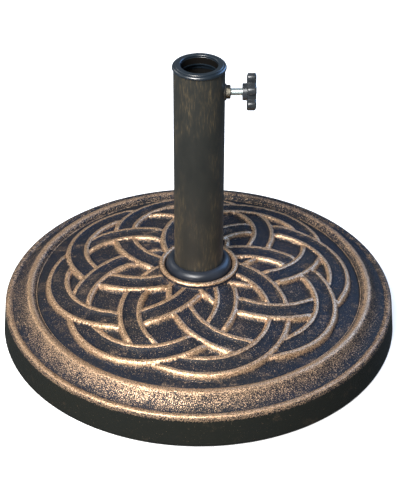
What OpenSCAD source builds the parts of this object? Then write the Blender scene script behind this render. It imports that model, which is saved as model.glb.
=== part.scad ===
// Round cast parasol base with a steel pole tube, a pole reducer and a clamp screw.
// Millimetres, +Z up. The origin is on the ground, on the tube's axis.
// The clamp screw points along +X.

/* [Casting] */
// Diameter of the casting at its lower edge
base_d = 450; // [430:1:470]
// Height of the rim bead above the casting's lower edge
rim_h = 37.5; // [34:0.5:42]
// Height of the domed floor at its centre, above the casting's lower edge
dome_h = 69; // [66:0.5:72]
// Fall of the domed floor from its centre to the lobes' outer reach
dome_fall = 19.75; // [17:0.25:22]
// Thickness of the cast skin over the ballast
skin = 8; // [6:0.5:10]
// Depth of the open recess below the ballast
recess_h = 20; // [18:0.5:22]

/* [Knot relief] */
// Number of interlaced rings
rings = 8; // [8:1:8]
// Distance of each ring's centre from the tube's axis
ring_offset = 78.65; // [76:0.05:80]
// Radius of a ring's outer ridge, at its crest
ridge_outer_r = 92.3; // [90:0.1:93]
// Radius of a ring's inner ridge, at its crest
ridge_inner_r = 72.3; // [71:0.1:74]
// Width of a ridge
ridge_w = 5; // [4:0.5:6]
// Height of a ridge above the domed floor
ridge_h = 6; // [5:0.25:6.5]
// Direction of the first ring's centre
ring_turn = -85.46; // [-90:0.01:-45]

/* [Tube] */
// Outside diameter of the pole tube
tube_d = 55; // [54:0.5:56]
// Wall of the pole tube
tube_wall = 1.5; // [1.2:0.1:2]
// Height of the tube's upper end above the ground
tube_top = 329.3; // [320:0.1:340]
// Height of the tube's lower end above the ground
tube_foot = 44; // [42:0.5:46]

/* [Cap and reducer] */
// Diameter of the pole hole in the reducer
pole_bore_d = 39; // [38.5:0.1:40]
// Diameter of the cap's rounded flange
cap_d = 57.8; // [57:0.1:59]
// Diameter of the reducer's lip
lip_d = 51.6; // [51:0.1:52]
// Overall height of the base above the ground
total_h = 333.4; // [330:0.1:345]

/* [Clamp] */
// Height of the clamp screw's axis above the ground
clamp_z = 300.6; // [295:0.1:302]
// Diameter of the clamp screw
screw_d = 7.8; // [7.7:0.05:7.9]
// Distance from the tube's axis to the tip of the clamp screw
tip_x = 26.2; // [25.8:0.1:27]
// Distance from the tube's axis to the knob's hub
hub_x = 45.7; // [45:0.1:47]
// Radius of the star knob over its lobes
knob_r = 21.4; // [20:0.1:23]
// Number of lobes on the star knob
lobes = 6; // [6:1:6]
// Turn of the first lobe about the screw, from straight down
lobe_turn = -4; // [-60:1:60]

/* [Feet] */
// Number of rubber feet
feet = 6; // [6:1:6]
// Height of the casting's lower edge above the ground
foot_gap = 2; // [1.5:0.25:3]

/* [Hidden] */
$fn = 96;
tiny = 0.05;
slip = 0.3;

base_r = base_d / 2;
tube_r = tube_d / 2;
tube_bore_r = tube_r - tube_wall;
pole_bore_r = pole_bore_d / 2;

// Rim, outside to inside
draft = 3.2;
bead_r = 4.4;
wall_top = foot_gap + rim_h - bead_r - 0.1;
bead_x = base_r - draft - bead_r;
bead_z = foot_gap + rim_h - bead_r;
shoulder_r = 6.4;
shoulder_x = base_r - 32;
shoulder_z = foot_gap + 44.3;
cove_dx = 28.6;
cove_dz = 16.5;
cove_r = 26.6;
moat_x = base_r - 40.6;
edge_round = 1.5;

// The knot is cut off at knot_reach, inside the rim
knot_reach = base_r - 45;

// Domed floor: a sphere that falls by dome_fall over dome_reach
dome_reach = 168.7;
dome_r = (pow(dome_reach, 2) + pow(dome_fall, 2)) / (2 * dome_fall);
dome_cz = foot_gap + dome_h - dome_r;
function dome_z(r, lift = 0) = dome_cz + sqrt(pow(dome_r + lift, 2) - r * r);

// Hub ring around the collar's seat
hub_crest_r = 41.7;
hub_crest_z = foot_gap + 78.8;
hub_outer_r = 45.8;
hub_round = 3.4;
seat_r = 38;
seat_z = foot_gap + 74.8;
socket_r = tube_r + 0.4;

// Ballast cavity and the bolted joint under it
cavity_r = base_r - 18;
rim_in = cavity_r - 4;
ballast_z = foot_gap + recess_h;
bolt_r = 5;
bolt_hole_r = 5.6;
washer_r = 18;
washer_t = 2.5;
spring_t = 2.5;
head_h = 6.4;
head_r = 9.8;
plate_t = 6;
spring_z = ballast_z - washer_t - spring_t;
head_z = spring_z - head_h;

// Feet
foot_r = 7;
foot_sink = 2;
foot_ring_r = base_r - 9.5;

// Collar: a quarter-round ring
collar_r = 36.8;
collar_bore_r = tube_r + slip;
collar_edge = 2.4;
collar_round = 8;

// Cap and reducer
cap_flange_z = tube_top - 0.8;
cap_flange_h = 3.9;
cap_edge = 1.2;
cap_round = 2.6;
cap_skirt_r = 24.6;
cap_skirt_h = 13;
reducer_skirt_r = cap_skirt_r - slip;
reducer_z = 321.5;
lip_round = 0.8;

// Clamp
nut_af = 13;
nut_h = 5.8;
nut_hole_r = screw_d / 2 + 0.1;
hub_len = 4.8;
star_len = 9.6;
knob_hub_r = 9.1;
lobe_r = 5;
knob_core_r = 14.6;
head_d = nut_af / cos(30);
head_len = 5;
head_x = hub_x + hub_len + 1;
tip_cap_r = screw_d / 2 - 0.4;
tip_cap_len = 3;
neck_r = screw_d / 2 - 1.35;
neck_len = 2.1;

// Points of an arc in the plane, from angle a to angle b
function arc(x, y, r, a, b, steps = 6) =
    [for (i = [0:steps]) let (t = a + (b - a) * i / steps) [x + r * cos(t), y + r * sin(t)]];

// Rim ring from the side wall over the bead, the cove and the shoulder to the floor
module rim() {
    rotate_extrude()
        polygon(concat(
            [[rim_in, foot_gap], [base_r - edge_round, foot_gap], [base_r, foot_gap + edge_round]],
            [[base_r - draft, wall_top]],
            arc(bead_x, bead_z, bead_r, 0, 145, 7),
            arc(shoulder_x + cove_dx, shoulder_z + cove_dz, cove_r, 251, 210, 5),
            arc(shoulder_x, shoulder_z, shoulder_r, 30, 165, 7),
            [[moat_x, dome_z(moat_x)], [moat_x - skin, dome_z(moat_x - skin) - skin],
                [rim_in, dome_z(rim_in) - skin]]));
}

// What lies under the domed surface, raised by lift, out to radius r
module dome(r, lift = 0) {
    intersection() {
        translate([0, 0, foot_gap]) cylinder(r = r, h = total_h);
        translate([0, 0, dome_cz]) sphere(r = dome_r + lift, $fn = 128);
    }
}

// Vertical rings on the knot's eight centres
module knot_rings(inner, outer) {
    for (i = [0:rings - 1])
        rotate([0, 0, ring_turn + i * 360 / rings])
            translate([ring_offset, 0, foot_gap + dome_h / 2])
                difference() {
                    cylinder(r = outer, h = dome_h);
                    translate([0, 0, -tiny]) cylinder(r = inner, h = dome_h + 2 * tiny);
                }
}

// The interlaced rings as raised bands, cut to the dome raised by lift
module knot(inner, outer, lift) {
    intersection() {
        dome(knot_reach, lift);
        knot_rings(inner, outer);
    }
}

module hub_ring() {
    rotate_extrude()
        polygon(concat(
            [[socket_r, dome_z(0) - skin], [hub_outer_r + 0.6, dome_z(0) - skin]],
            [[hub_outer_r, hub_crest_z - hub_round - 0.6]],
            arc(hub_crest_r, hub_crest_z - hub_round, hub_round, 10, 170, 7),
            [[seat_r, seat_z], [socket_r, seat_z]]));
}

module cast_shell() {
    color([0.42, 0.32, 0.24])
        difference() {
            union() {
                rim();
                dome(moat_x + 1);
                knot(ridge_inner_r - ridge_w / 2, ridge_outer_r + ridge_w / 2, ridge_h);
                hub_ring();
            }
            ballast_space(0);
            translate([0, 0, foot_gap]) cylinder(r = socket_r, h = total_h);
            translate([0, 0, seat_z]) cylinder(r = seat_r, h = total_h);
            for (i = [0:feet - 1])
                rotate([0, 0, i * 360 / feet])
                    translate([foot_ring_r, 0, 0]) cylinder(r = foot_r, h = foot_gap + foot_sink);
        }
}

// The space under the skin, from height z up
module ballast_space(z) {
    intersection() {
        translate([0, 0, z]) cylinder(r = cavity_r, h = total_h);
        translate([0, 0, dome_cz]) sphere(r = dome_r - skin, $fn = 128);
    }
}

module ballast_core() {
    color([0.55, 0.54, 0.51])
        difference() {
            ballast_space(ballast_z);
            translate([0, 0, tube_foot]) cylinder(r = socket_r, h = total_h);
            cylinder(r = bolt_hole_r, h = total_h);
        }
}

module pole_tube() {
    color([0.22, 0.21, 0.19])
        difference() {
            translate([0, 0, tube_foot]) cylinder(r = tube_r, h = tube_top - tube_foot);
            translate([0, 0, tube_foot - tiny]) cylinder(r = tube_bore_r, h = total_h);
            translate([0, 0, clamp_z]) rotate([0, 90, 0]) cylinder(r = screw_d / 2 + 0.6, h = base_r);
        }
}

module tube_foot_plate() {
    color([0.45, 0.45, 0.46])
        difference() {
            translate([0, 0, tube_foot]) cylinder(r = tube_bore_r, h = plate_t);
            translate([0, 0, tube_foot - tiny]) cylinder(r = bolt_r + tiny, h = plate_t + 2 * tiny);
        }
}

// Fillet weld between the foot plate's upper face and the tube's wall
module tube_foot_weld() {
    color([0.3, 0.29, 0.28])
        rotate_extrude()
            polygon([[tube_bore_r, tube_foot + plate_t], [tube_bore_r, tube_foot + plate_t + 3],
                [tube_bore_r - 3, tube_foot + plate_t]]);
}

module tube_bolt() {
    color([0.7, 0.71, 0.73])
        union() {
            translate([0, 0, head_z]) cylinder(r = head_r, h = head_h, $fn = 6);
            translate([0, 0, head_z]) cylinder(r = bolt_r, h = tube_foot + plate_t + 5 - head_z);
        }
}

module ring_washer(z, outer, t) {
    difference() {
        translate([0, 0, z]) cylinder(r = outer, h = t);
        translate([0, 0, z - tiny]) cylinder(r = bolt_r + 0.2, h = t + 2 * tiny);
    }
}

module bolt_washer() {
    color([0.72, 0.73, 0.75]) ring_washer(ballast_z - washer_t, washer_r, washer_t);
}

// Split ring: a washer with a slot through one side
module bolt_spring_washer() {
    color([0.5, 0.5, 0.52])
        difference() {
            ring_washer(spring_z, 9, spring_t);
            translate([0, 0, spring_z - tiny]) rotate([0, 0, 20])
                translate([0, -0.8, 0]) cube([12, 1.6, spring_t + 2 * tiny]);
        }
}

module tube_cap() {
    color([0.09, 0.1, 0.13])
        rotate_extrude()
            polygon(concat(
                [[cap_skirt_r, cap_flange_z - cap_skirt_h]],
                [[tube_bore_r, cap_flange_z - cap_skirt_h + 1], [tube_bore_r, tube_top]],
                [[tube_r + 0.15, tube_top], [tube_r + 0.15, cap_flange_z]],
                arc(cap_d / 2 - cap_edge, cap_flange_z + cap_edge, cap_edge, -90, 0, 3),
                arc(cap_d / 2 - cap_round, cap_flange_z + cap_flange_h - cap_round, cap_round, 0, 90, 6),
                [[cap_skirt_r, cap_flange_z + cap_flange_h]]));
}

module weld_nut() {
    color([0.66, 0.63, 0.55])
        translate([tube_r - tiny, 0, clamp_z]) rotate([0, 90, 0])
            difference() {
                cylinder(d = head_d, h = nut_h, $fn = 6);
                translate([0, 0, -tiny]) cylinder(r = nut_hole_r, h = nut_h + 2 * tiny);
            }
}

// Ring of weld around the nut, against the tube
module nut_weld() {
    color([0.14, 0.13, 0.12])
        difference() {
            translate([tube_r - 2, 0, clamp_z]) rotate([0, 90, 0])
                cylinder(r1 = nut_af / 2 + 4, r2 = nut_af / 2 + 1.2, h = 3.6);
            translate([0, 0, clamp_z - base_r / 2]) cylinder(r = tube_r, h = base_r);
            translate([0, 0, clamp_z]) rotate([0, 90, 0])
                cylinder(d = head_d, h = base_r, $fn = 6);
        }
}

module rubber_foot(i) {
    color([0.07, 0.07, 0.07])
        rotate([0, 0, i * 360 / feet])
            translate([foot_ring_r, 0, 0]) cylinder(r = foot_r, h = foot_gap + foot_sink);
}

module foot_1() { rubber_foot(0); }
module foot_2() { rubber_foot(1); }
module foot_3() { rubber_foot(2); }
module foot_4() { rubber_foot(3); }
module foot_5() { rubber_foot(4); }
module foot_6() { rubber_foot(5); }

// Loose ring that covers the joint between the tube and the casting
module tube_collar() {
    color([0.08, 0.09, 0.12])
        rotate_extrude()
            polygon(concat(
                [[collar_bore_r, seat_z + tiny], [collar_r, seat_z + tiny]],
                arc(collar_r - collar_round, seat_z + collar_edge, collar_round, 0, 90, 8),
                [[collar_bore_r, seat_z + collar_edge + collar_round]]));
}

module pole_reducer() {
    color([0.1, 0.11, 0.14])
        difference() {
            union() {
                translate([0, 0, reducer_z])
                    cylinder(r = reducer_skirt_r, h = total_h - lip_round - reducer_z);
                rotate_extrude()
                    polygon(concat(
                        [[pole_bore_r, cap_flange_z + cap_flange_h + tiny]],
                        [[lip_d / 2, cap_flange_z + cap_flange_h + tiny]],
                        arc(lip_d / 2 - lip_round, total_h - lip_round, lip_round, 0, 90, 5),
                        [[pole_bore_r, total_h]]));
            }
            translate([0, 0, reducer_z - tiny]) cylinder(r = pole_bore_r, h = total_h);
        }
}

// Along the screw: a solid of revolution placed on the clamp's axis
module on_clamp_axis(x) {
    translate([x, 0, clamp_z]) rotate([0, 90, 0]) children();
}

module screw_tip_cap() {
    color([0.12, 0.12, 0.12])
        difference() {
            on_clamp_axis(tip_x - 1) cylinder(r = tip_cap_r, h = tip_cap_len);
            on_clamp_axis(tip_x + 0.2) cylinder(r = neck_r + tiny, h = tip_cap_len);
        }
}

// The screw's tip is turned down to sit in its cap, and its head is held in the knob
module clamp_screw() {
    color([0.8, 0.82, 0.84])
        union() {
            on_clamp_axis(tip_x + 0.3) cylinder(r = neck_r, h = neck_len + 1);
            on_clamp_axis(tip_x + neck_len) cylinder(r = screw_d / 2, h = head_x + 1 - tip_x - neck_len);
            on_clamp_axis(head_x) cylinder(d = head_d, h = head_len, $fn = 6);
        }
}

// Outline of the star head: a core with a round lobe at each place
module star_outline() {
    circle(r = knob_core_r);
    for (i = [0:lobes - 1])
        rotate(lobe_turn + i * 360 / lobes)
            translate([knob_r - lobe_r, 0]) circle(r = lobe_r);
}

module clamp_knob() {
    color([0.13, 0.13, 0.14])
        difference() {
            union() {
                on_clamp_axis(hub_x) cylinder(r = knob_hub_r, h = hub_len + star_len / 2);
                on_clamp_axis(hub_x + hub_len) linear_extrude(star_len) star_outline();
            }
            on_clamp_axis(hub_x - 1) cylinder(r = screw_d / 2, h = hub_len + 3);
            on_clamp_axis(head_x) cylinder(d = head_d, h = head_len, $fn = 6);
        }
}

cast_shell();
ballast_core();
pole_tube();
tube_foot_plate();
tube_foot_weld();
tube_bolt();
bolt_washer();
bolt_spring_washer();
tube_cap();
weld_nut();
nut_weld();
foot_1();
foot_2();
foot_3();
foot_4();
foot_5();
foot_6();
tube_collar();
pole_reducer();
screw_tip_cap();
clamp_screw();
clamp_knob();
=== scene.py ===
import math

import bpy
import numpy as np
from mathutils import Euler, Matrix, Vector
from mathutils.geometry import delaunay_2d_cdt


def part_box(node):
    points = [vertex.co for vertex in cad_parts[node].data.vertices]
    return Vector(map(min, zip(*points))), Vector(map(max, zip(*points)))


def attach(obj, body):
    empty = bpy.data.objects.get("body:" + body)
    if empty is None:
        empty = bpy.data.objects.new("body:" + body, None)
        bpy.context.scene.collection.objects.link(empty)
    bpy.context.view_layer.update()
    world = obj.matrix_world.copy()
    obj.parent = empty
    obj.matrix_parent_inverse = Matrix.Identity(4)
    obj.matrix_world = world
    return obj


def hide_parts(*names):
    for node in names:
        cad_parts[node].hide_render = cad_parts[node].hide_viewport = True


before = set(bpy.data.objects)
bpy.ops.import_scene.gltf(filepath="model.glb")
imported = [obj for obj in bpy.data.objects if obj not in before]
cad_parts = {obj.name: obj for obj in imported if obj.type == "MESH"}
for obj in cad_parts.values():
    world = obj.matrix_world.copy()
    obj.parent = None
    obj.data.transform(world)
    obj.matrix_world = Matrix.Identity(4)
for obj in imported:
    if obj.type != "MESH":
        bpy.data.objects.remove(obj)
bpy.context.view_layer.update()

# ---------------------------------------------------------------- sizes from the frame, in metres
MM = 0.001
shell_low, shell_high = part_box("cast_shell")
tube_low, tube_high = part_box("pole_tube")
cap_low, cap_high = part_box("tube_cap")
reducer_low, reducer_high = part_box("pole_reducer")
collar_low, collar_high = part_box("tube_collar")
nut_low, nut_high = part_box("weld_nut")
screw_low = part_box("clamp_screw")[0]
knob_low, knob_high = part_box("clamp_knob")
core_low, core_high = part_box("ballast_core")

EDGE_Z = shell_low.z
BASE_R = shell_high.x
TUBE_R = tube_high.x
TUBE_TOP = tube_high.z
TUBE_WALL = 1.5 * MM
TUBE_BORE_R = TUBE_R - TUBE_WALL
CAP_BORE_R = 24.6 * MM
REDUCER_BORE_R = 19.5 * MM
CLAMP_Z = (nut_low.z + nut_high.z) / 2
SCREW_HOLE_R = 4.5 * MM
HAIR = 0.05 * MM  # clearance between pieces that touch in the frame

# Domed floor of the casting
FLOOR_EDGE_Z = EDGE_Z + 49.25 * MM
FLOOR_FALL = 19.75 * MM
FLOOR_REACH = 168.7 * MM
FLOOR_POWER = 2.34

# Knot of interlaced rings: each is a band with a ridge along both edges and a channel between them
RINGS = 8
RING_OFFSET = 78.65 * MM
RING_TURN = math.radians(-85.46)
RIDGE_OUT = 92.3 * MM
RIDGE_IN = 72.3 * MM
RIDGE_HALF = 2.8 * MM
RIDGE_H = 6.0 * MM
CROWN = 0.9 * MM
CHANNEL_H = 3.2 * MM
OUTER_RUN = 2.3 * MM  # how far the band's outer walls slope out
INNER_RUN = 1.3 * MM  # how far the channel's walls slope in
BAND_IN = RIDGE_IN - RIDGE_HALF
BAND_OUT = RIDGE_OUT + RIDGE_HALF
DIP_SHARE = 0.3  # how much a band sinks where it passes under another
DIP_REACH = 7.0 * MM

# Seat of the collar and the hub ring round it
SOCKET_R = TUBE_R + 0.4 * MM
SEAT_R = 38.0 * MM
SEAT_Z = collar_low.z
HUB_ROUND = 3.4 * MM
HUB_CREST_R = 41.7 * MM
HUB_CREST_Z = EDGE_Z + 78.8 * MM
HUB_FOOT_R = 46.4 * MM

# Moat, inner bead, cove, rim bead and side, from the knot outwards
MOAT_R = BASE_R - 48.0 * MM
STEP_R = BASE_R - 40.8 * MM
BEAD_R = 6.4 * MM
BEAD_X = BASE_R - 32.0 * MM
BEAD_Z = EDGE_Z + 44.3 * MM
COVE_R = 26.6 * MM
COVE_X = BEAD_X + 28.6 * MM
COVE_Z = BEAD_Z + 16.5 * MM
COVE_STEPS = 16
SIDE_LEAN = 3.2 * MM
RIM_R = 4.4 * MM
RIM_X = BASE_R - SIDE_LEAN - RIM_R
RIM_Z = EDGE_Z + 37.5 * MM - RIM_R
SIDE_ROWS = 12

# Spacing of the casting's mesh
HUB_COUNT = 288
RIM_COUNT = 480
ALONG = 1.15 * MM
LATTICE = 1.9 * MM
LATTICE_ROW = 0.866 * LATTICE
CLEAR = 0.62 * ALONG
CELL = 0.55 * MM
CELLS_ACROSS = 4096  # more than there are across the casting


# ---------------------------------------------------------------- mesh helpers
def make_object(name, verts, faces, smooth_angle=None):
    """A mesh object from points in metres and faces, with smooth shading."""
    mesh = bpy.data.meshes.new(name)
    mesh.from_pydata([tuple(v) for v in verts], [], faces)
    mesh.validate()
    mesh.update()
    mesh.shade_smooth()
    obj = bpy.data.objects.new(name, mesh)
    bpy.context.scene.collection.objects.link(obj)
    if smooth_angle is not None:
        mesh.set_sharp_from_angle(angle=math.radians(smooth_angle))
    return obj


def arc(x, y, r, a, b, steps=8):
    """Points of an arc from angle a to angle b, in degrees."""
    angles = [math.radians(a + (b - a) * i / steps) for i in range(steps + 1)]
    return [(x + r * math.cos(angle), y + r * math.sin(angle)) for angle in angles]


def ring_of_points(radius, height, segments):
    """Points round the Z axis; radius is a number or a function of the angle."""
    points = []
    for k in range(segments):
        a = 2 * math.pi * k / segments
        r = radius(a) if callable(radius) else radius
        points.append((r * math.cos(a), r * math.sin(a), height))
    return points


def band(start, after, segments):
    """Faces from the ring of points that begins at start to the ring that begins at after."""
    faces = []
    for k in range(segments):
        m = (k + 1) % segments
        faces.append((start + k, start + m, after + m, after + k))
    return faces


def lathe(name, outline, segments, smooth_angle=35):
    """A closed solid about Z from a closed outline of (radius, height) points."""
    verts, faces = [], []
    for i, (radius, height) in enumerate(outline):
        verts += ring_of_points(radius, height, segments)
        faces += band(i * segments, (i + 1) % len(outline) * segments, segments)
    return make_object(name, verts, faces, smooth_angle)


def zip_rings(start_a, count_a, start_b, count_b):
    """Triangles between two rings of points that may differ in number."""
    faces = []
    i = j = 0
    while i < count_a or j < count_b:
        next_a = (i + 1) / count_a if i < count_a else 2
        next_b = (j + 1) / count_b if j < count_b else 2
        a, b = start_a + i % count_a, start_b + j % count_b
        if next_a <= next_b:
            faces.append((a, b, start_a + (i + 1) % count_a))
            i += 1
        else:
            faces.append((a, b, start_b + (j + 1) % count_b))
            j += 1
    return faces


def to_clamp_axis(obj):
    """Turns a piece made about Z so that it lies along the clamp's axis, +Z towards the knob."""
    co = np.array([v.co for v in obj.data.vertices])
    turned = np.stack([co[:, 2], co[:, 1], CLAMP_Z - co[:, 0]], axis=1)
    obj.data.vertices.foreach_set("co", turned.astype(np.float32).ravel())
    obj.data.update()
    return obj


def set_attribute(obj, name, values):
    """Stores one number for each point, for a material to read."""
    attribute = obj.data.attributes.new(name, "FLOAT", "POINT")
    attribute.data.foreach_set("value", np.asarray(values, dtype=np.float32))


# ---------------------------------------------------------------- casting
ring_angles = RING_TURN + np.arange(RINGS) * 2 * np.pi / RINGS
ring_x = RING_OFFSET * np.cos(ring_angles)
ring_y = RING_OFFSET * np.sin(ring_angles)


def smooth_step(t):
    """0 below 0, 1 above 1 and a smooth curve between."""
    t = np.clip(t, 0, 1)
    return t * t * (3 - 2 * t)


def floor_z(r):
    """Height of the domed floor at radius r."""
    return FLOOR_EDGE_Z + FLOOR_FALL * (1 - (r / FLOOR_REACH) ** FLOOR_POWER)


def low_noise(x, y, scale, seed):
    """Smooth wandering about 0, the same on every run."""
    local = np.random.default_rng(seed)
    total = np.zeros_like(x)
    for _ in range(10):
        a, p = local.uniform(0, 2 * np.pi, 2)
        f = local.uniform(0.5, 1.6) / scale
        total += np.sin(2 * np.pi * f * (x * np.cos(a) + y * np.sin(a)) + p)
    return total / 5


def painted_front_light(x, y):
    """Painted light: the share of bronze kept by angle round the base. It is most at the front, which faces
    the key light and the camera, and least behind and on the right, so that the colour carries the fall of
    the light.
    """
    angle = np.arctan2(y, x)
    out = np.clip(np.hypot(x, y) / BASE_R, 0, 1)
    return 1 - out * (0.24 - 0.18 * np.cos(angle + math.radians(95)) + 0.03 * np.cos(angle - 0.2))


def ring_over(a, b):
    """True if ring a lies over ring b where they cross: the weave's rule by their distance round the knot."""
    return (b - a) % RINGS in (1, 3, 6) or ((b - a) % RINGS == 4 and a < b)


def ring_distances(x, y):
    """Distance of every point from each ring's centre."""
    return np.sqrt((x[None] - ring_x[:, None]) ** 2 + (y[None] - ring_y[:, None]) ** 2)


def band_height(rho):
    """Height of a band above the floor, at distance rho from its centre, and how rubbed it is."""
    near = np.minimum(np.abs(rho - RIDGE_OUT), np.abs(rho - RIDGE_IN))
    between = (rho > RIDGE_IN) & (rho < RIDGE_OUT)
    shoulder = RIDGE_H - CROWN
    crown = RIDGE_H - CROWN * (near / RIDGE_HALF) ** 2
    inside = CHANNEL_H + (shoulder - CHANNEL_H) * (1 - smooth_step((near - RIDGE_HALF) / INNER_RUN))
    outside = shoulder * (1 - smooth_step((near - RIDGE_HALF) / OUTER_RUN) ** 0.8)
    height = np.where(near < RIDGE_HALF, crown, np.where(between, inside, outside))
    fade = np.where(between, 0.7 * RIDGE_HALF, RIDGE_HALF + OUTER_RUN)
    return height, 1 - smooth_step((near - 0.45 * RIDGE_HALF) / fade)


def pick(values, ring):
    """For every point, the value that belongs to the ring with that number."""
    return np.take_along_axis(values, ring, 0)[0]


def weave(x, y):
    """Height of the knot above the floor, its crest mask and its wall mask, at points x, y."""
    rho = ring_distances(x, y)
    plain, crest = band_height(rho)
    on_top = (rho > BAND_IN) & (rho < BAND_OUT)
    past_edge = np.maximum(BAND_IN - rho, rho - BAND_OUT)
    dip = np.ones_like(rho)
    wins = np.zeros_like(rho)
    for over in range(RINGS):
        for under in range(RINGS):
            if over != under and ring_over(over, under):
                close = 1 - smooth_step((past_edge[over] - 0.5 * MM) / DIP_REACH)
                dip[under] = np.minimum(dip[under], 1 - DIP_SHARE * close)
                wins[over] += on_top[over] & on_top[under]
    dipped = plain * np.where(plain > 0, dip, 1)
    covered = on_top.any(0)
    winner = np.where(on_top, wins + 0.5, -1).argmax(0)[None]
    highest = dipped.argmax(0)[None]
    alone = on_top.sum(0) == 1
    held = np.where(alone, pick(dipped, winner), pick(plain, winner))
    wall_height = dipped.max(0)
    height = np.where(covered, held, wall_height)
    rubbed = np.where(covered, pick(crest, winner), pick(crest, highest))
    return height, rubbed, (~covered) & (wall_height > 0.4 * MM)


def circle_points(r, count, turn=0.0):
    """Points of a circle about the origin, as arrays of x and y."""
    angle = turn + np.arange(count) * 2 * np.pi / count
    return r * np.cos(angle), r * np.sin(angle)


def ridge_points(lines):
    """Rows of points along the lines of each ring, left out where another ring lies over it."""
    places = []
    for ring in range(RINGS):
        for number, line in enumerate(lines):
            count = round(2 * math.pi * line / ALONG)
            x, y = circle_points(line, count, number % 2 * math.pi * ALONG / line)
            x, y = x + ring_x[ring], y + ring_y[ring]
            rho = ring_distances(x, y)
            seen = np.ones(x.size, bool)
            for other in range(RINGS):
                if other != ring and ring_over(other, ring):
                    seen &= (rho[other] < BAND_IN - 0.3 * MM) | (rho[other] > BAND_OUT + 0.3 * MM)
            places.append((x[seen], y[seen]))
    return places


def lattice_points(lines):
    """Points of a triangular lattice on the flats between the lines."""
    rows = int(2 * MOAT_R / LATTICE_ROW) + 1
    grid_y, grid_x = np.mgrid[0:rows, 0:rows]
    x = ((grid_x + 0.5 * (grid_y % 2)) * LATTICE - MOAT_R * 1.2).ravel()
    y = (grid_y * LATTICE_ROW - MOAT_R).ravel()
    clear = np.abs(ring_distances(x, y)[None] - lines[:, None, None]).min((0, 1)) > CLEAR
    return x[clear], y[clear]


def knot_points():
    """Points in plan: both edges first, then rows along each visible ridge and a lattice on the flats."""
    across = np.array([-RIDGE_HALF - INNER_RUN, -RIDGE_HALF, -RIDGE_HALF / 2, 0, RIDGE_HALF / 2, RIDGE_HALF,
                       RIDGE_HALF + OUTER_RUN / 2, RIDGE_HALF + OUTER_RUN])
    lines = np.concatenate([RIDGE_OUT + across, RIDGE_IN - across])
    places = [circle_points(HUB_FOOT_R, HUB_COUNT), circle_points(MOAT_R, RIM_COUNT)]
    places += ridge_points(lines)
    places.append(lattice_points(lines))
    x = np.concatenate([p[0] for p in places])
    y = np.concatenate([p[1] for p in places])
    r = np.sqrt(x * x + y * y)
    edge_count = HUB_COUNT + RIM_COUNT
    keep = (np.arange(x.size) < edge_count) | ((r > HUB_FOOT_R + 0.6 * MM) & (r < MOAT_R - 0.8 * MM))
    x, y = x[keep], y[keep]
    cell = np.floor(x / CELL) * CELLS_ACROSS + np.floor(y / CELL)
    first = np.union1d(np.unique(cell, return_index=True)[1], np.arange(edge_count))
    return x[first], y[first]


def build_knot_surface():
    """Points, triangles and masks of the domed floor with its knot, from the hub ring's foot to the moat."""
    x, y = knot_points()
    plan = [Vector((a, b)) for a, b in zip(x / MM, y / MM)]
    flat, _, triangles, _, _, _ = delaunay_2d_cdt(plan, [], [], 0, 1e-4)
    flat = np.array([tuple(v) for v in flat]) * MM
    x, y = flat[:, 0], flat[:, 1]
    rise, crest, wall = weave(x, y)
    wander = 0.12 * MM * low_noise(x, y, 0.022, 3) * (rise > 1 * MM)
    height = floor_z(np.sqrt(x * x + y * y)) + rise + wander
    triangles = np.array(triangles)
    middle = flat[triangles].mean(1)
    middle_r = np.hypot(middle[:, 0], middle[:, 1])
    triangles = triangles[(middle_r > HUB_FOOT_R * 0.9995) & (middle_r < MOAT_R)]
    # Specks are set higher on the knot's walls than on its floors: bronze dust, and also a painted sheen
    # standing in for the sky reflected on the walls
    masks = np.stack([crest, np.where(wall, 0.5, 0.33), np.zeros_like(crest)], axis=1)
    # Painted light: the crests' bronze and the specks thin away from the front, as the fall of the light
    masks[:, :2] *= painted_front_light(x, y)[:, None] ** 0.7
    return np.stack([x, y, height], axis=1), triangles, masks


def row(r, z, rub=0.0, speck=0.0, dark=0.0):
    """One row of an outline: radius, height and its masks of rubbed bronze, specks and dark paint."""
    return r, z, rub, speck, dark


def hub_rows():
    """Outline of the socket, the collar's seat and the hub ring, from the tube outwards."""
    rows = [row(SOCKET_R, core_high.z - 6 * MM), row(SOCKET_R, SEAT_Z), row(SEAT_R - 0.6 * MM, SEAT_Z)]
    for r, z in arc(HUB_CREST_R, HUB_CREST_Z - HUB_ROUND, HUB_ROUND, 180, 0, 12):
        rows.append(row(r, z, rub=smooth_step(((z - HUB_CREST_Z) / HUB_ROUND + 0.95) / 0.55)))
    rows.append(row(HUB_CREST_R + 3.9 * MM, HUB_CREST_Z - 5.2 * MM, rub=0.4))
    return rows


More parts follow.
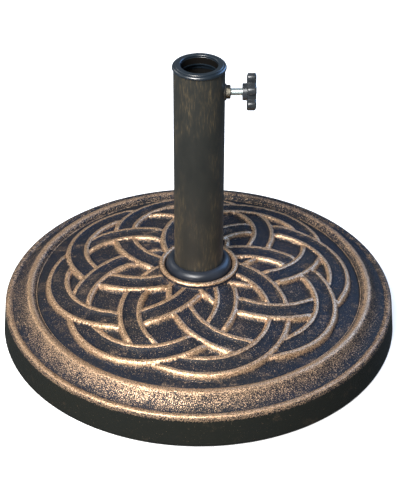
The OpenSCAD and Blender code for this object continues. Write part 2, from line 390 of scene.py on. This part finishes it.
def rim_rows():
    """Outline of the moat, inner bead, cove, rim bead, side and recess, from the knot outwards."""
    rows = [row(r, float(floor_z(r)), speck=0.25) for r in np.linspace(MOAT_R, STEP_R, 7)]
    step_z = float(floor_z(STEP_R))
    rows += [row(STEP_R + 0.5 * MM, step_z - 1.2 * MM, dark=1.0),
             row(STEP_R + 0.8 * MM, step_z + 0.9 * MM, rub=0.75, speck=0.5),
             row(STEP_R + 1.4 * MM, step_z + 1.2 * MM, rub=0.75, speck=0.5),
             row(STEP_R + 2.1 * MM, step_z + 0.4 * MM, dark=0.9)]
    for r, z in arc(BEAD_X, BEAD_Z, BEAD_R, 168, 32, 14):
        lift = (z - BEAD_Z) / BEAD_R
        rows.append(row(r, z, rub=0.92 * smooth_step((lift - 0.62) / 0.34), speck=0.9))
    for i, (r, z) in enumerate(arc(COVE_X, COVE_Z, COVE_R, 210, 251, COVE_STEPS)):
        inner = 1 - i / COVE_STEPS
        rows.append(row(r, z, rub=0.12 * inner ** 3, speck=0.42 * inner ** 0.9 + 0.42))
    for r, z in arc(RIM_X, RIM_Z, RIM_R, 145, -8, 13):
        lift = (z - RIM_Z) / RIM_R
        rows.append(row(r, z, rub=0.98 * smooth_step((lift - 0.46) / 0.42), speck=0.85))
    foot_z = EDGE_Z + 1.5 * MM
    for share in np.linspace(0.07, 1, SIDE_ROWS):
        rows.append(row(BASE_R - SIDE_LEAN * (1 - share), RIM_Z + (foot_z - RIM_Z) * share, dark=0.8,
                        speck=0.10 + 0.30 * max(0, 1 - share * 8)))
    rows += [row(BASE_R - 0.4 * MM, EDGE_Z + 0.4 * MM, dark=0.6, rub=0.1),
             row(BASE_R - 1.5 * MM, EDGE_Z, dark=0.8),
             row(core_high.x + 0.8 * MM, EDGE_Z, dark=0.8),
             row(core_high.x, EDGE_Z + 0.8 * MM, dark=0.8),
             row(core_high.x, core_low.z + 12 * MM, dark=0.8)]
    return rows


def turned_rows(rows, count, start):
    """Rows of an outline turned about Z: their points, masks and faces, numbered from start."""
    points, masks, faces = [], [], []
    for i, (r, z, rub, speck, dark) in enumerate(rows):
        x, y = circle_points(r, count)
        beyond_knot = r > MOAT_R
        wander = 0.10 * MM * low_noise(x, y, 0.05, 5) * beyond_knot
        points.append(np.stack([x, y, z + wander], axis=1))
        # Painted light: the bronze and the specks thin away from the front, most on the rim bead, as the fall
        # of the light across the base
        rub_light_power = 3.4 if r > BASE_R - 12 * MM else 1.6 if beyond_knot else 0.5
        speck_light_power = 1.6 if beyond_knot else 1
        wear_and_front_light = painted_front_light(x, y)
        row_masks = [rub * wear_and_front_light ** rub_light_power, speck * wear_and_front_light ** speck_light_power, np.full(count, dark)]
        masks.append(np.stack(row_masks, axis=1))
        if i > 0:
            first = start + (i - 1) * count
            faces += [face[::-1] for face in band(first, first + count, count)]
    return np.concatenate(points), np.concatenate(masks), faces


def build_casting():
    """The casting as one closed mesh: seat, hub ring, knot, moat, rim, side and underside."""
    knot, knot_faces, knot_masks = build_knot_surface()
    faces = [tuple(int(v) for v in face) for face in knot_faces]
    hub, rim = hub_rows(), rim_rows()[1:]
    hub_start = len(knot)
    rim_start = hub_start + len(hub) * HUB_COUNT
    hub_points, hub_masks, hub_faces = turned_rows(hub, HUB_COUNT, hub_start)
    rim_points, rim_masks, rim_faces = turned_rows(rim, RIM_COUNT, rim_start)
    faces += hub_faces + rim_faces
    faces += [face[::-1] for face in band(rim_start - HUB_COUNT, 0, HUB_COUNT)]
    faces += [face[::-1] for face in band(HUB_COUNT, rim_start, RIM_COUNT)]
    rim_last = rim_start + (len(rim) - 1) * RIM_COUNT
    faces += zip_rings(rim_last, RIM_COUNT, hub_start, HUB_COUNT)
    casting = make_object("casting", np.concatenate([knot, hub_points, rim_points]), faces)
    masks = np.concatenate([knot_masks, hub_masks, rim_masks])
    for column, name in enumerate(("rub", "speck", "dark")):
        set_attribute(casting, name, masks[:, column])
    return casting


# ---------------------------------------------------------------- materials
def rgb(red, green, blue):
    """A colour with full alpha."""
    return red, green, blue, 1


class Nodes:
    """Short names for building a material's nodes."""

    def __init__(self, name):
        self.material = bpy.data.materials.new(name)
        self.material.use_nodes = True
        self.tree = self.material.node_tree
        self.shader = self.tree.nodes["Principled BSDF"]

    def link(self, source, target):
        """Joins an output to an input."""
        self.tree.links.new(source, target)

    def put(self, value, socket):
        """Links a socket's value, or sets a constant one."""
        if isinstance(value, bpy.types.NodeSocket):
            self.link(value, socket)
        else:
            socket.default_value = value

    def place(self, stretch=(1, 1, 1)):
        """Object coordinates, stretched."""
        mapping = self.tree.nodes.new("ShaderNodeMapping")
        mapping.inputs["Scale"].default_value = stretch
        coords = self.tree.nodes.new("ShaderNodeTexCoord")
        self.link(coords.outputs["Object"], mapping.inputs["Vector"])
        return mapping.outputs["Vector"]

    def height(self):
        """Height above the ground, in metres."""
        split = self.tree.nodes.new("ShaderNodeSeparateXYZ")
        self.link(self.place(), split.inputs[0])
        return split.outputs["Z"]

    def noise(self, scale, detail=4, rough=0.6, stretch=(1, 1, 1)):
        """Noise with a number of features to the metre."""
        node = self.tree.nodes.new("ShaderNodeTexNoise")
        node.inputs["Scale"].default_value = scale
        node.inputs["Detail"].default_value = detail
        node.inputs["Roughness"].default_value = rough
        self.link(self.place(stretch), node.inputs["Vector"])
        return node.outputs["Fac"]

    def math(self, operation, a, b=0.0, c=0.0):
        """A calculation on sockets or constants."""
        node = self.tree.nodes.new("ShaderNodeMath")
        node.operation = operation
        for value, socket in zip((a, b, c), node.inputs):
            self.put(value, socket)
        return node.outputs[0]

    def ramp(self, value, low, high, to_low=0.0, to_high=1.0):
        """value from low..high to to_low..to_high, clamped."""
        node = self.tree.nodes.new("ShaderNodeMapRange")
        for v, name in ((value, "Value"), (low, "From Min"), (high, "From Max"),
                        (to_low, "To Min"), (to_high, "To Max")):
            self.put(v, node.inputs[name])
        return node.outputs[0]

    def mix(self, factor, a, b):
        """Colour a where factor is 0 and b where it is 1."""
        node = self.tree.nodes.new("ShaderNodeMix")
        node.data_type = "RGBA"
        self.put(factor, node.inputs["Factor"])
        self.put(a, node.inputs[6])
        self.put(b, node.inputs[7])
        return node.outputs[2]

    def attribute(self, name):
        """A number stored with the points."""
        node = self.tree.nodes.new("ShaderNodeAttribute")
        node.attribute_name = name
        return node.outputs["Fac"]

    def bump(self, height, strength, distance, after=None):
        """A bump of a distance in metres, on top of another one."""
        node = self.tree.nodes.new("ShaderNodeBump")
        node.inputs["Strength"].default_value = strength
        node.inputs["Distance"].default_value = distance
        self.link(height, node.inputs["Height"])
        if after is not None:
            self.link(after, node.inputs["Normal"])
        return node.outputs["Normal"]

    def finish(self, **values):
        """Sets the shader's inputs by name and gives the material."""
        for name, value in values.items():
            self.put(value, self.shader.inputs[name.replace("_", " ")])
        return self.material


def antiqued_bronze():
    """Dark blue-black casting with copper-bronze paint rubbed over its ridges and dusted over its cove."""
    n = Nodes("antiqued_bronze")
    fine = n.noise(950, 3, 0.65)
    grain = n.noise(420, 4, 0.6)
    patches = n.noise(70, 4, 0.6)
    broad = n.noise(16, 3, 0.55)
    rub = n.attribute("rub")
    speck = n.attribute("speck")
    dark = n.attribute("dark")
    # Paint that was rubbed over the crests, with an edge broken up by the grain; the rub mask also carries
    # painted light, thinning the bronze away from the front
    wear_and_front_light = n.math("ADD", rub, n.math("MULTIPLY_ADD", grain, 0.85, -0.44))
    wear_and_front_light = n.math("ADD", wear_and_front_light, n.math("MULTIPLY_ADD", patches, 0.4, -0.2))
    rubbed = n.ramp(wear_and_front_light, 0.30, 0.66)
    # Dust of single specks, closer together where speck is high; the speck mask also carries painted light,
    # thinning away from the front, and a painted sheen on the knot's walls
    dusty = n.math("MULTIPLY", speck, n.ramp(patches, 0.35, 0.62, 0.8, 1.1))
    level = n.math("SUBTRACT", 0.72, n.math("MULTIPLY", dusty, 0.34))
    dust = n.ramp(n.math("SUBTRACT", fine, level), 0.0, 0.08)
    # Scuffs, which are fainter on the dark side
    scuffs = n.ramp(n.noise(34, 5, 0.7, (1, 1.6, 1)), 0.56, 0.68)
    scuffs = n.math("MULTIPLY", scuffs, n.ramp(fine, 0.46, 0.6))
    scuffs = n.math("MULTIPLY", scuffs, n.ramp(dark, 0.0, 1.0, 0.42, 0.1))
    dust = n.math("MAXIMUM", dust, scuffs)
    paint = n.math("MAXIMUM", rubbed, n.math("MULTIPLY", dust, 0.75))
    navy = n.mix(n.ramp(broad, 0.38, 0.62), rgb(0.004, 0.009, 0.021), rgb(0.008, 0.011, 0.017))
    navy = n.mix(n.ramp(grain, 0.47, 0.72), navy, rgb(0.031, 0.026, 0.024))
    navy = n.mix(dark, navy, rgb(0.017, 0.018, 0.013))
    bronze = n.mix(n.ramp(fine, 0.40, 0.60), rgb(0.13, 0.062, 0.028), rgb(0.92, 0.62, 0.39))
    bump = n.bump(grain, 0.6, 0.7 * MM)
    bump = n.bump(fine, 0.7, 0.5 * MM, bump)
    rough = n.math("SUBTRACT", n.ramp(grain, 0.3, 0.7, 0.44, 0.60), n.math("MULTIPLY", paint, 0.21))
    return n.finish(Base_Color=n.mix(paint, navy, bronze), Metallic=n.math("MULTIPLY", paint, 0.7),
                    Roughness=rough, Specular_IOR_Level=n.ramp(paint, 0.0, 1.0, 0.20, 0.45), Normal=bump)


def tube_paint():
    """Satin dark brown-grey paint with faint golden streaks down the tube, most near its ends."""
    n = Nodes("tube_paint")
    streaks = n.noise(1000, 4, 0.7, (1, 1, 0.075))
    fine = n.noise(700, 3, 0.6, (1, 1, 0.25))
    foot = n.ramp(n.height(), 0.09, 0.16, 0.14, 0.0)
    head = n.ramp(n.height(), 0.27, 0.32, 0.0, 0.05)
    patches = n.math("ADD", n.noise(27, 4, 0.6, (1, 1, 0.45)), n.math("ADD", foot, head))
    gold = n.math("MULTIPLY", n.ramp(streaks, 0.50, 0.64), n.ramp(patches, 0.48, 0.68))
    gold = n.math("MULTIPLY", gold, n.ramp(fine, 0.35, 0.6, 0.35, 1.0))
    colour = n.mix(n.ramp(patches, 0.3, 0.7), rgb(0.018, 0.020, 0.019), rgb(0.034, 0.034, 0.030))
    colour = n.mix(n.math("MULTIPLY", gold, 0.85), colour, rgb(0.25, 0.18, 0.09))
    # Painted shade: the tube's inside is painted near black
    colour = n.mix(n.attribute("bore"), colour, rgb(0.006, 0.006, 0.006))
    return n.finish(Base_Color=colour, Roughness=n.ramp(fine, 0.3, 0.7, 0.34, 0.44), Specular_IOR_Level=0.45,
                    Normal=n.bump(fine, 0.15, 0.2 * MM))


def moulded_plastic(name, low, high, rough_low, rough_high, coat=0.0):
    """Moulded plastic with a slight variation of colour and gloss and a fine skin, painted near black inside
    a marked bore as painted shade, with its gloss taken off there.
    """
    n = Nodes(name)
    broad = n.noise(60, 2, 0.5)
    fine = n.noise(1600, 2, 0.5)
    bore = n.attribute("bore")
    # Painted shade: near black inside a marked bore, with the coat and gloss taken off there
    colour = n.mix(bore, n.mix(n.ramp(broad, 0.35, 0.65), low, high), rgb(0.004, 0.0035, 0.003))
    rough = n.math("ADD", n.ramp(broad, 0.3, 0.7, rough_low, rough_high), n.math("MULTIPLY", bore, 0.4))
    gloss = n.math("MULTIPLY", n.math("SUBTRACT", 1.0, bore), coat)
    return n.finish(Base_Color=colour, Roughness=rough, Coat_Weight=gloss, Coat_Roughness=0.22,
                    Specular_IOR_Level=n.ramp(bore, 0.0, 1.0, 0.5, 0.1), Normal=n.bump(fine, 0.06, 0.1 * MM))


def plated_steel(name, low, high, rough):
    """Plated steel with cloudy colour and fine drawing lines."""
    n = Nodes(name)
    cloud = n.noise(160, 3, 0.6)
    fine = n.noise(1500, 3, 0.6)
    return n.finish(Base_Color=n.mix(n.ramp(cloud, 0.35, 0.65), low, high), Metallic=0.9,
                    Roughness=n.ramp(fine, 0.3, 0.7, rough, rough + 0.15), Normal=n.bump(fine, 0.1, 0.1 * MM))


def rough_cement():
    """Pale grey cement with sand grains and pinholes."""
    n = Nodes("rough_cement")
    grains = n.noise(500, 5, 0.7)
    broad = n.noise(20, 4, 0.6)
    colour = n.mix(n.ramp(broad, 0.3, 0.7), rgb(0.30, 0.29, 0.27), rgb(0.46, 0.45, 0.42))
    colour = n.mix(n.ramp(grains, 0.6, 0.75), colour, rgb(0.16, 0.155, 0.15))
    return n.finish(Base_Color=colour, Roughness=n.ramp(grains, 0.3, 0.7, 0.8, 0.95),
                    Normal=n.bump(grains, 0.6, 1.0 * MM))


bronze_material = antiqued_bronze()
tube_material = tube_paint()
gloss_black = moulded_plastic("gloss_black", rgb(0.006, 0.011, 0.017), rgb(0.010, 0.017, 0.026), 0.28, 0.36,
                              coat=1.0)
satin_black = moulded_plastic("satin_black", rgb(0.012, 0.016, 0.024), rgb(0.020, 0.025, 0.036), 0.30, 0.40)
knob_black = moulded_plastic("knob_black", rgb(0.016, 0.019, 0.022), rgb(0.034, 0.038, 0.043), 0.20, 0.30,
                             coat=0.8)
tip_black = moulded_plastic("tip_black", rgb(0.02, 0.02, 0.02), rgb(0.035, 0.035, 0.034), 0.5, 0.65)
foot_rubber = moulded_plastic("foot_rubber", rgb(0.012, 0.012, 0.012), rgb(0.022, 0.022, 0.021), 0.7, 0.85)
zinc = plated_steel("zinc", rgb(0.52, 0.61, 0.61), rgb(0.67, 0.77, 0.76), 0.32)
nut_zinc = plated_steel("nut_zinc", rgb(0.035, 0.032, 0.026), rgb(0.19, 0.175, 0.14), 0.30)
plain_steel = plated_steel("plain_steel", rgb(0.30, 0.30, 0.31), rgb(0.42, 0.42, 0.43), 0.4)
weld_paint = moulded_plastic("weld_paint", rgb(0.016, 0.015, 0.013), rgb(0.045, 0.040, 0.032), 0.4, 0.6)
cement = rough_cement()


def dress(obj, material, body, slot, *nodes):
    """Gives a new piece its material and body and hides the CAD nodes that it stands for; slot is not used.
    """
    obj.data.materials.append(material)
    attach(obj, body)
    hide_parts(*nodes)


def redress(node, material):
    """Gives a CAD node that stays its better material."""
    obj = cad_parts[node]
    for place in obj.material_slots:
        place.material = material
    if not obj.material_slots:
        obj.data.materials.append(material)


# ---------------------------------------------------------------- pieces
def mark_bore(obj, radius, low, high):
    """Marks the points inside a bore and between two heights, where the materials paint shade: a near black
    colour with the gloss taken off.
    """
    inside = [math.hypot(v.co.x, v.co.y) < radius and low <= v.co.z < high for v in obj.data.vertices]
    set_attribute(obj, "bore", inside)


def build_drill():
    """A cylinder along the clamp's axis, through the tube's wall."""
    reach = 12 * MM
    centre = 0.01 * MM
    outline = [(centre, -reach), (SCREW_HOLE_R, -reach), (SCREW_HOLE_R, reach), (centre, reach)]
    drill = lathe("drill", outline, 48)
    for v in drill.data.vertices:
        v.co = Vector((TUBE_R + v.co.z, v.co.y, CLAMP_Z + v.co.x))
    drill.data.flip_normals()
    return drill


def build_tube():
    """The tube with eased ends and the hole for the clamp screw."""
    ease = 0.4 * MM
    outline = [(TUBE_BORE_R, tube_low.z), (TUBE_R - ease, tube_low.z), (TUBE_R, tube_low.z + ease)]
    outline += [(TUBE_R, z) for z in np.linspace(tube_low.z + 5 * MM, TUBE_TOP - 3 * MM, 12)]
    outline += [(TUBE_R, TUBE_TOP - ease), (TUBE_R - ease, TUBE_TOP), (TUBE_BORE_R, TUBE_TOP)]
    tube = lathe("tube", outline, 160)
    drill = build_drill()
    cut = tube.modifiers.new("hole", "BOOLEAN")
    cut.operation, cut.object, cut.solver = "DIFFERENCE", drill, "EXACT"
    bpy.context.view_layer.update()
    drilled = bpy.data.meshes.new_from_object(tube.evaluated_get(bpy.context.evaluated_depsgraph_get()))
    tube.modifiers.clear()
    tube.data = drilled
    bpy.data.objects.remove(drill)
    drilled.set_sharp_from_angle(angle=math.radians(35))
    # Painted shade on the whole inside of the tube
    mark_bore(tube, TUBE_BORE_R + 0.1 * MM, tube_low.z, TUBE_TOP + 1 * MM)
    return tube


def build_cap():
    """Flanged cap: its skirt sits in the tube and its flange laps over the tube's end."""
    low_round, top_round = 1.2 * MM, 2.6 * MM
    flange_r, flange_z, top = cap_high.x, TUBE_TOP - 0.8 * MM, cap_high.z
    skirt_r, lap_r, seat_z = TUBE_BORE_R - HAIR, TUBE_R + 0.15 * MM, TUBE_TOP + 0.02 * MM
    outline = [(CAP_BORE_R, cap_low.z), (skirt_r - 0.15 * MM, cap_low.z), (skirt_r, cap_low.z + 1 * MM),
               (skirt_r, seat_z), (lap_r, seat_z), (lap_r, flange_z)]
    outline += arc(flange_r - low_round, flange_z + low_round, low_round, -90, 0, 6)
    outline += arc(flange_r - top_round, top - top_round, top_round, 0, 90, 12)
    outline += [(CAP_BORE_R, top)]
    return lathe("cap", outline, 128)


def build_reducer():
    """Lipped reducer that hangs in the cap, with one ledge under its mouth and one near its lower end."""
    lip_r, low, top = reducer_high.x, reducer_low.z, reducer_high.z
    skirt_r = 24.3 * MM
    lip_round = 0.9 * MM
    seat_z = cap_high.z + HAIR
    mouth_r, middle_r = REDUCER_BORE_R + 0.6 * MM, REDUCER_BORE_R + 0.4 * MM
    upper_ledge, lower_ledge = top - 2.4 * MM, low + 1.6 * MM
    outline = [(REDUCER_BORE_R + 0.5 * MM, low), (skirt_r - 0.5 * MM, low), (skirt_r, low + 0.5 * MM),
               (skirt_r, seat_z), (lip_r, seat_z)]
    outline += arc(lip_r - lip_round, top - lip_round, lip_round, 0, 90, 8)
    outline += arc(mouth_r + lip_round, top - lip_round, lip_round, 90, 180, 7)
    outline += [(mouth_r, upper_ledge), (middle_r + 0.05 * MM, upper_ledge - 0.2 * MM),
                (middle_r, upper_ledge - 0.6 * MM), (middle_r, lower_ledge + 0.4 * MM),
                (middle_r, lower_ledge + 0.1 * MM), (REDUCER_BORE_R + 0.02 * MM, lower_ledge),
                (REDUCER_BORE_R, lower_ledge - 0.3 * MM), (REDUCER_BORE_R, low + 0.5 * MM)]
    reducer = lathe("reducer", outline, 128)
    # Painted shade on the bore between the two ledges
    mark_bore(reducer, middle_r + 0.05 * MM, lower_ledge + 0.3 * MM, upper_ledge - 0.5 * MM)
    return reducer


def build_collar():
    """Cover ring: a quarter round with eased edges."""
    low, top = collar_low.z, collar_high.z
    outer, inner = collar_high.x, TUBE_R + 0.3 * MM
    curve = 8.0 * MM
    outline = [(inner, low), (outer - 0.5 * MM, low), (outer, low + 0.5 * MM)]
    outline += arc(outer - curve, top - curve, curve, 0, 84, 18)
    outline += [(inner + 0.6 * MM, top - 0.15 * MM), (inner, top - 0.6 * MM)]
    return lathe("collar", outline, 144)


def build_nut():
    """Hexagon nut with chamfered corners, along the clamp's axis."""
    back, front = nut_low.x, nut_high.x
    half_flats = (nut_high.y - nut_low.y) / 2
    corner = half_flats * 2 / math.sqrt(3)
    hole = 4.0 * MM

    def hexagon(cut):
        """Radius of the hexagon by angle, its corners cut back by cut."""
        def radius(a):
            from_flat = (a + math.pi / 6) % (math.pi / 3) - math.pi / 6
            return min(half_flats / math.cos(from_flat), corner - cut)
        return radius

    outline = [(hexagon(0), back), (hexagon(0), front - 1.0 * MM), (hexagon(0.55 * MM), front - 0.35 * MM),
               (hexagon(1.0 * MM), front), (hole + 0.5 * MM, front), (hole, front - 0.5 * MM), (hole, back)]
    return to_clamp_axis(lathe("nut", outline, 96, 28))


def build_weld():
    """Lumpy ring of weld that follows the tube's wall round the nut."""
    segments, around, lump_count = 72, 10, 18
    ring_r, bead_r, bead_rise = 7.4 * MM, 1.9 * MM, 1.5 * MM
    lumps = np.random.default_rng(11).uniform(0.8, 1.25, lump_count)
    verts, faces = [], []
    for k in range(segments):
        a = 2 * math.pi * k / segments
        lump = np.interp(k / segments * lump_count, np.arange(lump_count + 1), np.append(lumps, lumps[0]))
        for i in range(around):
            t = 2 * math.pi * i / around
            radius = ring_r + bead_r * lump * math.cos(t)
            y, z = radius * math.cos(a), radius * math.sin(a)
            wall = math.sqrt(TUBE_R ** 2 - y * y)
            verts.append((wall + 0.2 * MM + bead_rise * lump * math.sin(t), y, CLAMP_Z + z))
    for k in range(segments):
        faces += [face[::-1] for face in band(k * around, (k + 1) % segments * around, around)]
    return make_object("weld", verts, faces)


def build_screw():
    """The clamp screw with its rolled thread and a plain neck at its tip."""
    pitch, depth, crest = 1.25 * MM, 0.14 * MM, 3.92 * MM
    neck_r, neck_length = 2.5 * MM, 1.6 * MM
    start, end = screw_low.x + 1.9 * MM, knob_low.x + 4.0 * MM
    segments, steps_per_pitch = 40, 6
    steps = int((end - start) / pitch * steps_per_pitch)
    verts, faces = [], []
    for i in range(steps + 1):
        x = start + (end - start) * i / steps
        run_out = (1 - min(1.0, i / (2 * steps_per_pitch))) * 0.8 * MM

        def thread(a):
            """Radius at angle a: the thread winds on by one pitch a turn and runs out at the tip."""
            phase = (x - start) / pitch + a / (2 * math.pi)
            return crest - depth * (0.5 + 0.5 * math.cos(2 * math.pi * phase)) - run_out

        verts += ring_of_points(thread, x, segments)
        if i < steps:
            faces += band(i * segments, (i + 1) * segments, segments)
    tip, head = len(verts), len(verts) + 1
    verts += [(0, 0, start - neck_length), (0, 0, end)]
    neck = len(verts)
    verts += ring_of_points(neck_r, start - neck_length, segments)
    verts += ring_of_points(neck_r, start, segments)
    faces += band(neck, neck + segments, segments)
    faces += band(neck + segments, 0, segments)
    for k in range(segments):
        m = (k + 1) % segments
        faces.append((tip, neck + m, neck + k))
        faces.append((head, steps * segments + k, steps * segments + m))
    return to_clamp_axis(make_object("screw", verts, faces))


def build_knob():
    """Star knob: a hub and a head with six rounded lobes and a shallow dish in its outer face."""
    back, front = knob_low.x, knob_high.x
    head = back + 4.8 * MM
    hub = 9.1 * MM
    lobe_r, core_r = 5.0 * MM, 13.4 * MM
    lobe_centre = CLAMP_Z - knob_low.z - lobe_r
    lobe_turn = math.radians(-4)
    blend = 14
    segments = 192

    def star(inset):
        """Radius of the star's outline by angle, drawn in by inset."""
        def radius(a):
            t = (a - lobe_turn + math.pi / 6) % (math.pi / 3) - math.pi / 6
            lobe, sine = lobe_r - inset, lobe_centre * math.sin(t)
            on_lobe = 0
            if abs(sine) < lobe:
                on_lobe = lobe_centre * math.cos(t) + math.sqrt(lobe ** 2 - sine ** 2)
            return (on_lobe ** blend + (core_r - inset) ** blend) ** (1 / blend)
        return radius

    levels = [(4.6 * MM, back + 0.4 * MM), (5.2 * MM, back), (hub - 0.5 * MM, back), (hub, back + 0.5 * MM),
              (hub + 0.1 * MM, head - 0.3 * MM), (hub + 0.6 * MM, head)]
    levels += [(star(1.5 * MM), head), (star(0.7 * MM), head + 0.25 * MM), (star(0.1 * MM), head + 0.9 * MM),
               (star(0), head + 1.6 * MM), (star(0), front - 1.8 * MM), (star(0.15 * MM), front - 1.0 * MM),
               (star(0.7 * MM), front - 0.35 * MM), (star(1.6 * MM), front)]
    levels += [(10.4 * MM, front - 0.05 * MM), (9.8 * MM, front - 0.6 * MM), (8.8 * MM, front - 1.2 * MM),
               (0.1 * MM, front - 1.3 * MM)]
    verts, faces = [], []
    for i, (radius, x) in enumerate(levels):
        verts += ring_of_points(radius, x, segments)
        if i > 0:
            faces += band((i - 1) * segments, i * segments, segments)
    verts += [(0, 0, back + 0.4 * MM), (0, 0, front - 1.3 * MM)]
    last = (len(levels) - 1) * segments
    for k in range(segments):
        m = (k + 1) % segments
        faces.append((len(verts) - 2, m, k))
        faces.append((len(verts) - 1, last + k, last + m))
    return to_clamp_axis(make_object("knob", verts, faces, 40))


def build_foot(number):
    """Rubber foot: a disc with a rounded edge and a small dimple."""
    low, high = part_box(f"foot_{number}")
    r = (high.x - low.x) / 2
    edge = 0.9 * MM
    centre_r = 0.05 * MM
    outline = [(centre_r, low.z + 0.5 * MM), (2.2 * MM, low.z + 0.5 * MM), (2.6 * MM, low.z + 0.1 * MM),
               (3.0 * MM, low.z), (r - edge, low.z)]
    outline += arc(r - edge, low.z + edge, edge, -90, 0, 5)[1:]
    outline += [(r, high.z), (centre_r, high.z)]
    foot = lathe(f"rubber_foot_{number}", outline, 40)
    centre = (low + high) / 2
    for v in foot.data.vertices:
        v.co.x += centre.x
        v.co.y += centre.y
    return foot


dress(build_casting(), bronze_material, "base", "bronzed_casting", "cast_shell")
dress(build_tube(), tube_material, "base", "tube_paint", "pole_tube")
dress(build_cap(), gloss_black, "base", "black_plastic", "tube_cap")
dress(build_reducer(), gloss_black, "reducer", "black_plastic", "pole_reducer")
dress(build_collar(), satin_black, "collar", "black_plastic", "tube_collar")
dress(build_nut(), nut_zinc, "base", "nut_steel", "weld_nut")
dress(build_weld(), weld_paint, "base", "weld_paint", "nut_weld")
dress(build_screw(), zinc, "clamp", "zinc_steel", "clamp_screw")
dress(build_knob(), knob_black, "clamp", "knob_plastic", "clamp_knob")
for number in range(1, 7):
    dress(build_foot(number), foot_rubber, "base", "foot_rubber", f"foot_{number}")
redress("ballast_core", cement)
redress("tube_foot_plate", plain_steel)
redress("tube_foot_weld", plain_steel)
redress("tube_bolt", zinc)
redress("bolt_washer", zinc)
redress("bolt_spring_washer", zinc)
redress("screw_tip_cap", tip_black)


# ---------------------------------------------------------------- stage, camera and lights
def build_floor():
    """Plain pale floor with a soft mottle."""
    mesh = bpy.data.meshes.new("floor")
    half = 30.0
    corners = [(-half, -half, 0), (half, -half, 0), (half, half, 0), (-half, half, 0)]
    mesh.from_pydata(corners, [], [(0, 1, 2, 3)])
    floor = bpy.data.objects.new("floor", mesh)
    bpy.context.scene.collection.objects.link(floor)
    n = Nodes("floor")
    mottle = n.mix(n.noise(3), rgb(0.86, 0.86, 0.86), rgb(0.90, 0.90, 0.90))
    mesh.materials.append(n.finish(Base_Color=mottle, Roughness=0.8, Emission_Color=rgb(1, 1, 1),
                                   Emission_Strength=0.62))
    floor.visible_diffuse = False
    floor.visible_glossy = False


def area_light(name, place, aim_height, size, power, colour):
    """A square light at a place, aimed at a point on the tube's axis."""
    data = bpy.data.lights.new(name, "AREA")
    data.size, data.energy, data.color = size, power, colour
    light = bpy.data.objects.new(name, data)
    bpy.context.scene.collection.objects.link(light)
    light.location = place
    aim = Vector((0, 0, aim_height)) - Vector(place)
    light.rotation_euler = aim.to_track_quat("-Z", "Y").to_euler()


def build_camera():
    """Camera in front of the object, looking down on it."""
    data = bpy.data.cameras.new("camera")
    data.sensor_width = 36
    data.lens = 111.6
    down, roll = math.radians(34.74), math.radians(0.19)
    camera = bpy.data.objects.new("camera", data)
    camera.location = (0.0014, -1.441, 1.0963)
    tilt = Euler((math.pi / 2 - down, 0, 0)).to_matrix()
    camera.rotation_euler = (tilt @ Matrix.Rotation(roll, 3, "Z")).to_euler()
    bpy.context.scene.collection.objects.link(camera)
    bpy.context.scene.camera = camera


def build_light():
    """Soft studio light: a warm key from the front left and a blue sky from behind on the right."""
    world = bpy.data.worlds.new("world")
    bpy.context.scene.world = world
    world.use_nodes = True
    background = world.node_tree.nodes["Background"]
    background.inputs["Color"].default_value = rgb(0.78, 0.90, 1.0)
    background.inputs["Strength"].default_value = 0.17
    area_light("key", (-0.60, -1.38, 1.6), 0.1, 0.60, 46, (1.0, 0.94, 0.86))
    area_light("soft_front", (-0.62, -1.30, 1.7), 0.15, 1.5, 50, (0.97, 0.98, 1.0))
    area_light("fill_left", (-1.7, -0.5, 0.9), 0.15, 1.2, 2, (0.95, 0.97, 1.0))
    area_light("sky_right", (1.25, 1.15, 1.2), 0.1, 1.2, 18, (0.25, 0.50, 1.0))
    area_light("back_left", (-1.3, 0.9, 1.3), 0.1, 0.8, 5, (1.0, 0.97, 0.93))
    bpy.context.scene.view_settings.view_transform = "Standard"


build_floor()
build_camera()
build_light()
